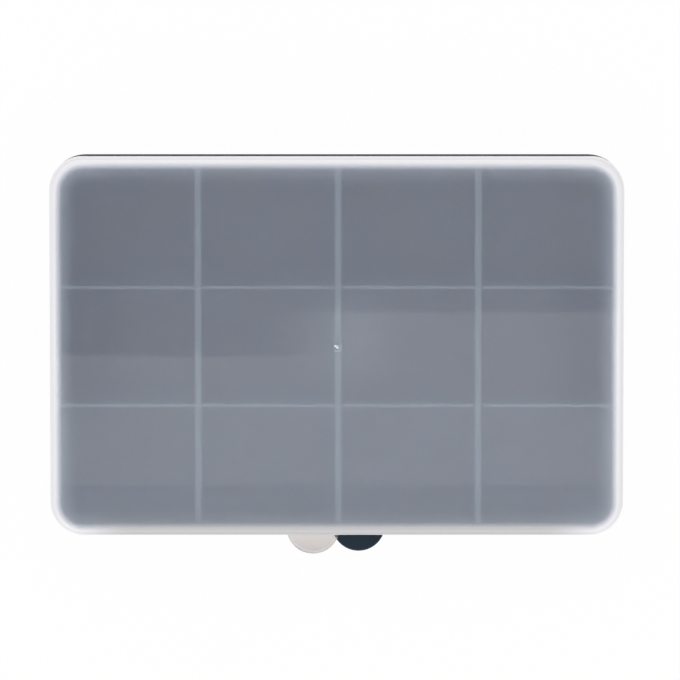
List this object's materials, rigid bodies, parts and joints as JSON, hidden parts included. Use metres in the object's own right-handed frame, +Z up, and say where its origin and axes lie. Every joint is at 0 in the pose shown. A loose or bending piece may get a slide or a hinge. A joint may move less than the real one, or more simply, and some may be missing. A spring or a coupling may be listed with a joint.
{
  "type": "kids snack box",
  "caption": "Shallow rectangular snack box with a frosted press-on lid, a dark tray, lift-out dividers and two half-round finger tabs at the front.",
  "frame": {"origin": "the middle of the tray's flat underside, in the plane that the box stands on", "axes": "+Z up through the lid, +X to the right along the long side, -Y to the front, where the finger tabs are"},
  "size_m": [0.2416, 0.169, 0.042],
  "materials": {
    "lid_plastic": "frosted translucent polypropylene, satin",
    "tray_plastic": "dark navy polypropylene, semi-gloss",
    "divider_plastic": "grey-blue polypropylene, satin"
  },
  "bodies": {
    "tray": {"tray": "tray_plastic"},
    "lid": {"lid": "lid_plastic"},
    "long_divider_1": {"long_divider_1": "divider_plastic"},
    "long_divider_2": {"long_divider_2": "divider_plastic"},
    "long_divider_3": {"long_divider_3": "divider_plastic"},
    "short_divider_front_1": {"short_divider_front_1": "divider_plastic"},
    "short_divider_front_2": {"short_divider_front_2": "divider_plastic"},
    "short_divider_front_3": {"short_divider_front_3": "divider_plastic"},
    "short_divider_front_4": {"short_divider_front_4": "divider_plastic"},
    "short_divider_back_1": {"short_divider_back_1": "divider_plastic"},
    "short_divider_back_2": {"short_divider_back_2": "divider_plastic"},
    "short_divider_back_3": {"short_divider_back_3": "divider_plastic"},
    "short_divider_back_4": {"short_divider_back_4": "divider_plastic"}
  },
  "joints": [
    {"name": "lid_lift", "type": "slide", "parent": "tray", "child": "lid", "axis": [0, 0, 1], "range_m": [0, 0.12]},
    {"name": "long_divider_1_lift", "type": "slide", "parent": "tray", "child": "long_divider_1", "axis": [0, 0, 1], "range_m": [0, 0.048]},
    {"name": "long_divider_2_lift", "type": "slide", "parent": "tray", "child": "long_divider_2", "axis": [0, 0, 1], "range_m": [0, 0.048]},
    {"name": "long_divider_3_lift", "type": "slide", "parent": "tray", "child": "long_divider_3", "axis": [0, 0, 1], "range_m": [0, 0.048]},
    {"name": "short_divider_front_1_lift", "type": "slide", "parent": "tray", "child": "short_divider_front_1", "axis": [0, 0, 1], "range_m": [0, 0.0912]},
    {"name": "short_divider_front_2_lift", "type": "slide", "parent": "tray", "child": "short_divider_front_2", "axis": [0, 0, 1], "range_m": [0, 0.0912]},
    {"name": "short_divider_front_3_lift", "type": "slide", "parent": "tray", "child": "short_divider_front_3", "axis": [0, 0, 1], "range_m": [0, 0.0912]},
    {"name": "short_divider_front_4_lift", "type": "slide", "parent": "tray", "child": "short_divider_front_4", "axis": [0, 0, 1], "range_m": [0, 0.0912]},
    {"name": "short_divider_back_1_lift", "type": "slide", "parent": "tray", "child": "short_divider_back_1", "axis": [0, 0, 1], "range_m": [0, 0.0912]},
    {"name": "short_divider_back_2_lift", "type": "slide", "parent": "tray", "child": "short_divider_back_2", "axis": [0, 0, 1], "range_m": [0, 0.0912]},
    {"name": "short_divider_back_3_lift", "type": "slide", "parent": "tray", "child": "short_divider_back_3", "axis": [0, 0, 1], "range_m": [0, 0.0912]},
    {"name": "short_divider_back_4_lift", "type": "slide", "parent": "tray", "child": "short_divider_back_4", "axis": [0, 0, 1], "range_m": [0, 0.0912]}
  ],
  "couplings": [
    {"joint": "long_divider_1_lift", "follows": "lid_lift", "ratio": 0.4},
    {"joint": "long_divider_2_lift", "follows": "lid_lift", "ratio": 0.4},
    {"joint": "long_divider_3_lift", "follows": "lid_lift", "ratio": 0.4},
    {"joint": "short_divider_front_1_lift", "follows": "lid_lift", "ratio": 0.76},
    {"joint": "short_divider_front_2_lift", "follows": "lid_lift", "ratio": 0.76},
    {"joint": "short_divider_front_3_lift", "follows": "lid_lift", "ratio": 0.76},
    {"joint": "short_divider_front_4_lift", "follows": "lid_lift", "ratio": 0.76},
    {"joint": "short_divider_back_1_lift", "follows": "lid_lift", "ratio": 0.76},
    {"joint": "short_divider_back_2_lift", "follows": "lid_lift", "ratio": 0.76},
    {"joint": "short_divider_back_3_lift", "follows": "lid_lift", "ratio": 0.76},
    {"joint": "short_divider_back_4_lift", "follows": "lid_lift", "ratio": 0.76}
  ]
}
